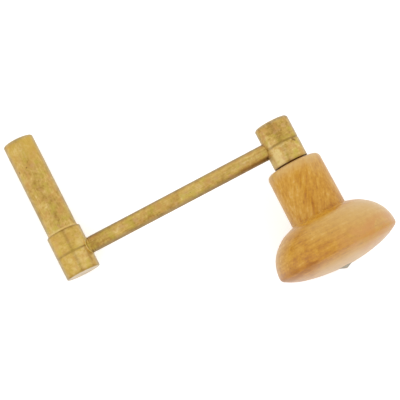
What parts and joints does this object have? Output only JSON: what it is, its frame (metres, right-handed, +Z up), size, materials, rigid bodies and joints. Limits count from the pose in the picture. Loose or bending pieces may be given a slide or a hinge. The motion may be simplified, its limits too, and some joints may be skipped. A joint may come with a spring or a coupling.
{
  "type": "crank clock key",
  "caption": "Crank clock winding key: brass barrel with a square socket, round brass arm, and a turned wooden knob that spins on a steel spindle.",
  "frame": {"origin": "bottom centre of the key's box as it lies on a table, where the table touches the socket hub and the knob's rim", "axes": "+Z up from the table; +Y out of the socket's mouth, parallel to the socket's and the spindle's axes; +X from the socket towards the knob. The crank is rolled 11.19 degrees about Y, because the knob's rim is larger than the hub. The socket's square has its flats level and upright."},
  "size_m": [0.101, 0.0864, 0.0411],
  "materials": {
    "brass_bar": "satin, handled",
    "brass_hub": "satin, turned, handled",
    "brass_arm": "satin, drawn",
    "brass_washer": "dull",
    "steel": "satin, hammered at the end",
    "wood": "turned beech, lacquered"
  },
  "bodies": {
    "crank": {"winding_tube": "brass_bar", "socket_hub": "brass_hub", "crank_arm": "brass_arm", "handle_hub": "brass_hub", "spindle": "steel", "thrust_washer": "brass_washer", "end_washer": "steel"},
    "handle": {"knob": "wood"}
  },
  "joints": [
    {"name": "knob_spin", "type": "hinge", "parent": "crank", "child": "handle", "pos_m": [0.0299, -0.02332, 0.02057], "axis": [0, -1, 0], "continuous": true}
  ]
}
